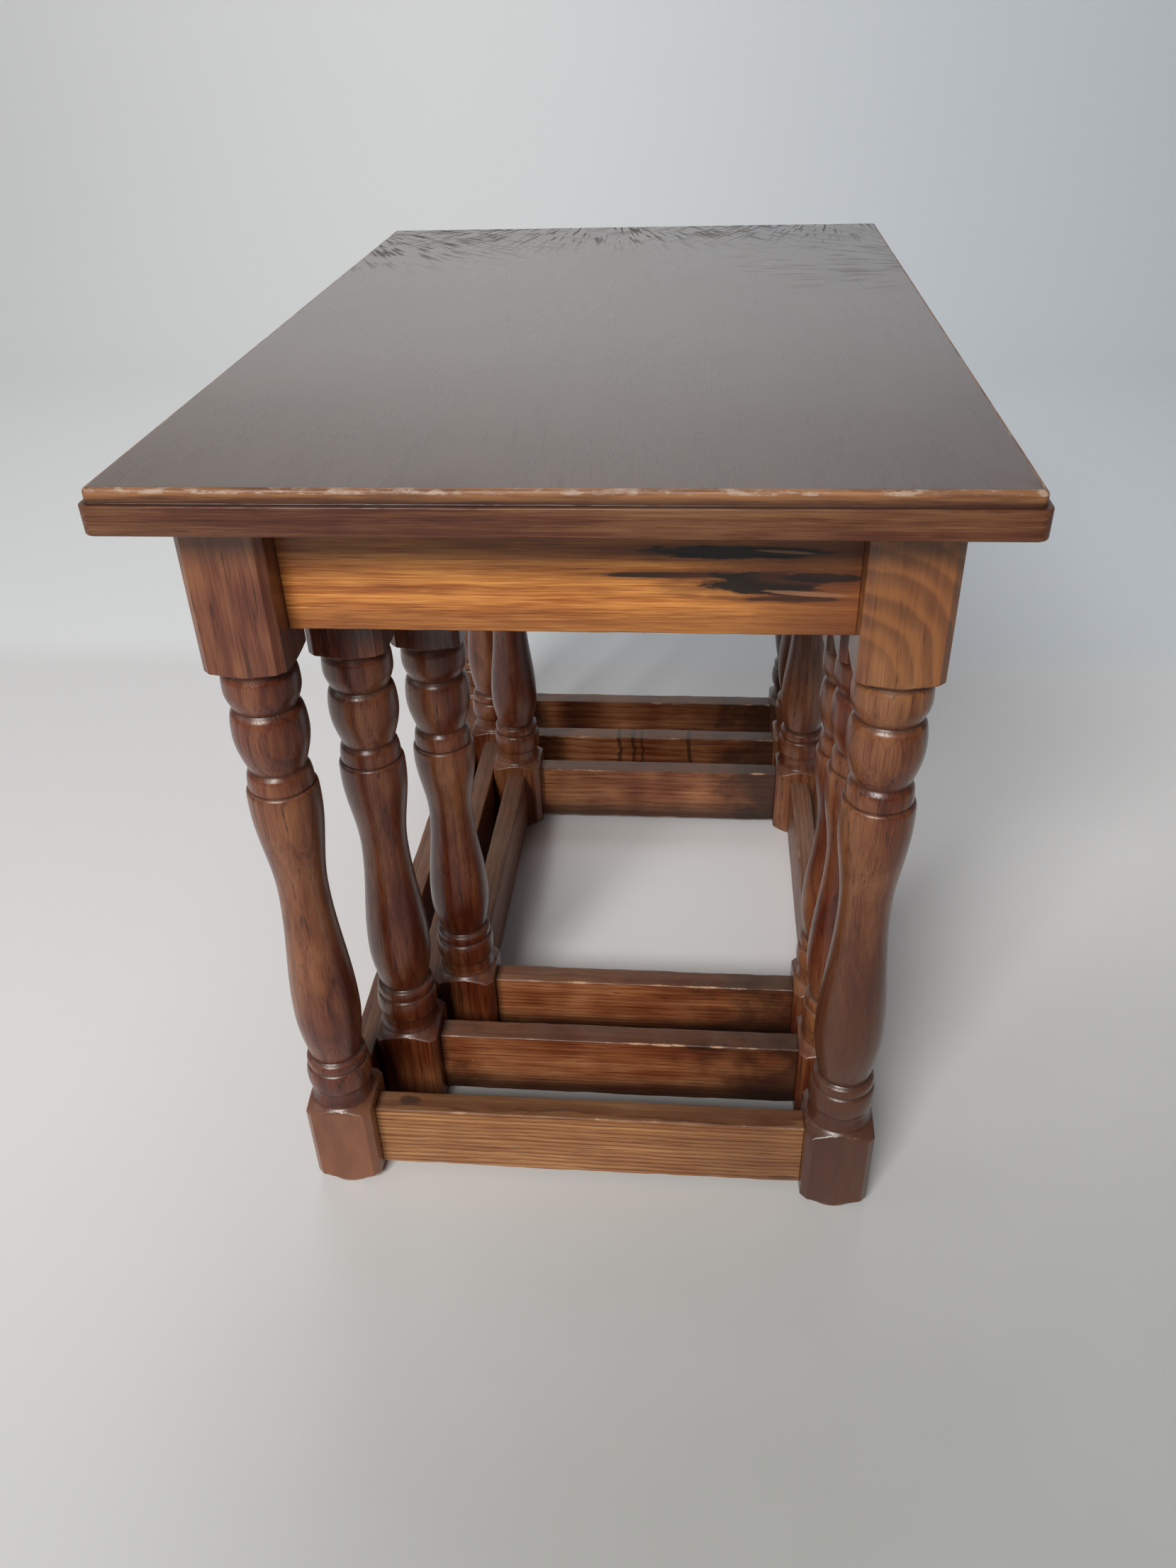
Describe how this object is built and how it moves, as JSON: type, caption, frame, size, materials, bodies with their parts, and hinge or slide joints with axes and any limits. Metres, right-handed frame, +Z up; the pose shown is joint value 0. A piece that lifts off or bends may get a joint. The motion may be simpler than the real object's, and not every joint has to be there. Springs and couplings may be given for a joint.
{
  "type": "nesting tables",
  "caption": "Nest of wooden side tables that slide one under another, with step-moulded tops, turned legs on square blocks, end aprons and low stretchers.",
  "frame": {"origin": "on the floor under the centre of the large table's top", "axes": "+X along the length, -Y towards the open front where the smaller tables slide out, +Z up"},
  "size_m": [0.623, 0.404, 0.48],
  "materials": {
    "top_wood": "satin varnish, grey-brown",
    "leg_wood": "satin varnish over red-brown stain",
    "apron_wood": "satin varnish over orange-brown stain",
    "stretcher_wood": "satin varnish over golden brown stain",
    "screw_steel": "dull"
  },
  "bodies": {
    "large_table": {"large_top": "top_wood", "large_leg_front_left": "leg_wood", "large_leg_front_right": "leg_wood", "large_leg_back_left": "leg_wood", "large_leg_back_right": "leg_wood", "large_apron_left": "apron_wood", "large_apron_right": "apron_wood", "large_rail_back": "apron_wood", "large_stretcher_left": "stretcher_wood", "large_stretcher_right": "stretcher_wood", "large_stretcher_back": "stretcher_wood", "large_apron_left_screw_1": "screw_steel", "large_apron_left_screw_2": "screw_steel", "large_apron_right_screw_1": "screw_steel", "large_apron_right_screw_2": "screw_steel", "large_rail_back_screw_1": "screw_steel", "large_rail_back_screw_2": "screw_steel"},
    "middle_table": {"middle_top": "top_wood", "middle_leg_front_left": "leg_wood", "middle_leg_front_right": "leg_wood", "middle_leg_back_left": "leg_wood", "middle_leg_back_right": "leg_wood", "middle_apron_left": "apron_wood", "middle_apron_right": "apron_wood", "middle_rail_back": "apron_wood", "middle_stretcher_left": "stretcher_wood", "middle_stretcher_right": "stretcher_wood", "middle_stretcher_back": "stretcher_wood", "middle_apron_left_screw_1": "screw_steel", "middle_apron_left_screw_2": "screw_steel", "middle_apron_right_screw_1": "screw_steel", "middle_apron_right_screw_2": "screw_steel", "middle_rail_back_screw_1": "screw_steel", "middle_rail_back_screw_2": "screw_steel"},
    "small_table": {"small_top": "top_wood", "small_leg_front_left": "leg_wood", "small_leg_front_right": "leg_wood", "small_leg_back_left": "leg_wood", "small_leg_back_right": "leg_wood", "small_apron_left": "apron_wood", "small_apron_right": "apron_wood", "small_rail_back": "apron_wood", "small_rail_front": "apron_wood", "small_stretcher_left": "stretcher_wood", "small_stretcher_right": "stretcher_wood", "small_stretcher_back": "stretcher_wood", "small_stretcher_front": "stretcher_wood", "small_apron_left_screw_1": "screw_steel", "small_apron_left_screw_2": "screw_steel", "small_apron_right_screw_1": "screw_steel", "small_apron_right_screw_2": "screw_steel", "small_rail_back_screw_1": "screw_steel", "small_rail_back_screw_2": "screw_steel"}
  },
  "joints": [
    {"name": "middle_slide", "type": "slide", "parent": "large_table", "child": "middle_table", "axis": [0, -1, 0], "range_m": [0, 0.4]},
    {"name": "small_slide", "type": "slide", "parent": "middle_table", "child": "small_table", "axis": [0, -1, 0], "range_m": [0, 0.37]}
  ]
}
